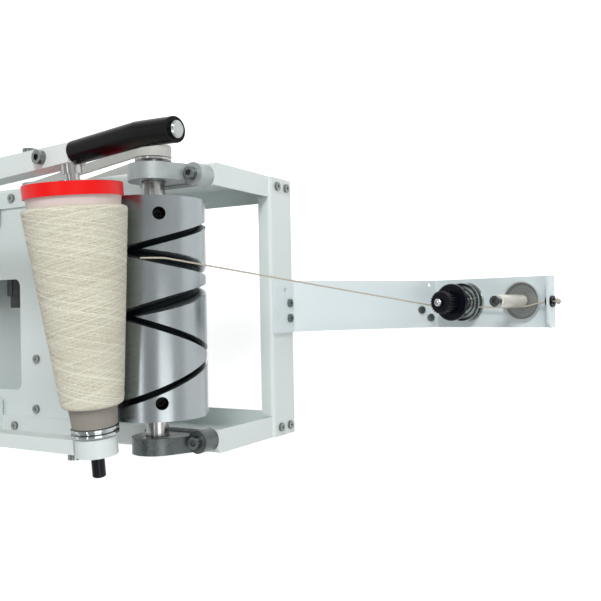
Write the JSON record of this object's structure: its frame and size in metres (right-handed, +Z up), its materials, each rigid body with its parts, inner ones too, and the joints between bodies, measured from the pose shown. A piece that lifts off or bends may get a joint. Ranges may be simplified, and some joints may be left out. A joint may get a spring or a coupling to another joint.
{
  "type": "yarn cone winder",
  "caption": "Benchtop cone winder: grooved traverse drum, paper cone in a swinging cradle, folded sheet frame and a drop arm with a disc tensioner.",
  "frame": {"origin": "middle of the four base bolts, on the underside of the frame", "axes": "+X to the machine's right along the drum, +Y to its back, +Z up"},
  "size_m": [0.2578, 0.5412, 0.3947],
  "materials": {
    "frame_paint": "satin powder coat",
    "arm_paint": "satin powder coat",
    "cast_alloy": "cast, lightly polished",
    "drum_alloy": "polished, anodised",
    "ground_steel": "ground",
    "screw_steel": "zinc plated",
    "chrome": "polished",
    "belt_rubber": "matt",
    "motor_paint": "satin",
    "grip_rubber": "semi gloss",
    "black_plastic": "moulded",
    "red_plastic": "gloss",
    "tube_paper": "smooth board",
    "yarn": "wound yarn",
    "strand": "yarn",
    "ceramic": "glazed",
    "dish_steel": "spun"
  },
  "bodies": {
    "frame": {"side_panel_right": "frame_paint", "side_panel_left": "frame_paint", "front_bar": "frame_paint", "deck_plate": "frame_paint", "rear_panel": "frame_paint", "drum_bracket_right": "cast_alloy", "drum_bracket_left": "cast_alloy", "bearing_right": "ground_steel", "bearing_left": "ground_steel", "bracket_bolts": "screw_steel", "bar_screws": "screw_steel", "deck_screws": "screw_steel", "motor_housing": "motor_paint", "motor_plate": "ground_steel", "motor_bolts": "screw_steel", "drive_belt": "belt_rubber", "pivot_bracket_right": "frame_paint", "pivot_bracket_left": "frame_paint", "pivot_bolts": "screw_steel", "yarn_arm": "arm_paint", "arm_screws": "screw_steel", "tension_stud": "ground_steel", "guide_dish": "dish_steel", "guide_bolt": "screw_steel", "eyelet": "black_plastic", "yarn_strand": "strand", "tension_spring": "screw_steel"},
    "drum": {"drum": "drum_alloy", "drum_set_screws": "screw_steel", "drum_shaft": "ground_steel", "drive_pulley": "ground_steel"},
    "motor_rotor": {"motor_shaft": "ground_steel", "motor_pulley": "ground_steel"},
    "cradle": {"right_arm": "frame_paint", "left_arm": "frame_paint", "left_hub": "frame_paint", "spindle_bearing": "ground_steel", "pivot_shaft": "ground_steel", "arm_bolts": "screw_steel", "grip": "grip_rubber", "grip_cap": "chrome"},
    "cone": {"paper_tube": "tube_paper", "yarn_package": "yarn", "rim_flange": "red_plastic", "big_end_chuck": "chrome", "small_end_chuck": "chrome", "spindle": "ground_steel"},
    "release": {"release_button": "black_plastic"},
    "lower_disc": {"tension_disc_lower": "chrome"},
    "upper_disc": {"tension_disc_upper": "chrome"},
    "spring_seat": {"spring_washer": "screw_steel"},
    "knob": {"tension_knob": "black_plastic"},
    "guide_roller": {"guide_sleeve": "ceramic"}
  },
  "joints": [
    {"name": "drum_spin", "type": "hinge", "parent": "frame", "child": "drum", "pos_m": [0, -0.11, 0.145], "axis": [1, 0, 0], "continuous": true},
    {"name": "motor_spin", "type": "hinge", "parent": "frame", "child": "motor_rotor", "pos_m": [0.12, 0.104, 0.064], "axis": [1, 0, 0], "continuous": true},
    {"name": "cradle_lift", "type": "hinge", "parent": "frame", "child": "cradle", "pos_m": [0, 0.122, 0.2], "axis": [-1, 0, 0], "range_deg": [0, 40]},
    {"name": "cone_spin", "type": "hinge", "parent": "cradle", "child": "cone", "pos_m": [0, -0.1023, 0.216], "axis": [0.9946, 0, 0.1037], "continuous": true},
    {"name": "release_press", "type": "slide", "parent": "cradle", "child": "release", "axis": [0.9946, 0, 0.1037], "range_m": [0, 0.003], "stiffness_N_per_m": 300, "springref_m": -0.001},
    {"name": "lower_disc_spin", "type": "hinge", "parent": "frame", "child": "lower_disc", "pos_m": [0.001, -0.28364, -0.11808], "axis": [0, 0.2453, 0.9694], "continuous": true},
    {"name": "upper_disc_spin", "type": "hinge", "parent": "frame", "child": "upper_disc", "pos_m": [0.001, -0.28291, -0.11517], "axis": [0, 0.2453, 0.9694], "continuous": true},
    {"name": "tension_travel", "type": "slide", "parent": "frame", "child": "spring_seat", "axis": [0, 0.2453, 0.9694], "range_m": [-0.0024, 0.0024], "deforming": ["tension_spring"]},
    {"name": "knob_turn", "type": "hinge", "parent": "spring_seat", "child": "knob", "pos_m": [0.001, -0.27628, -0.08899], "axis": [0, 0.2453, 0.9694], "range_deg": [-1080, 1080]},
    {"name": "guide_sleeve_spin", "type": "hinge", "parent": "frame", "child": "guide_roller", "pos_m": [0.001, -0.33813, -0.08882], "axis": [0, 0.2453, 0.9694], "continuous": true}
  ],
  "couplings": [
    {"joint": "motor_spin", "follows": "drum_spin", "ratio": 0.6667},
    {"joint": "cone_spin", "follows": "drum_spin", "ratio": -1.3563},
    {"joint": "tension_travel", "follows": "knob_turn", "m_per_rad": 0.0001273}
  ]
}
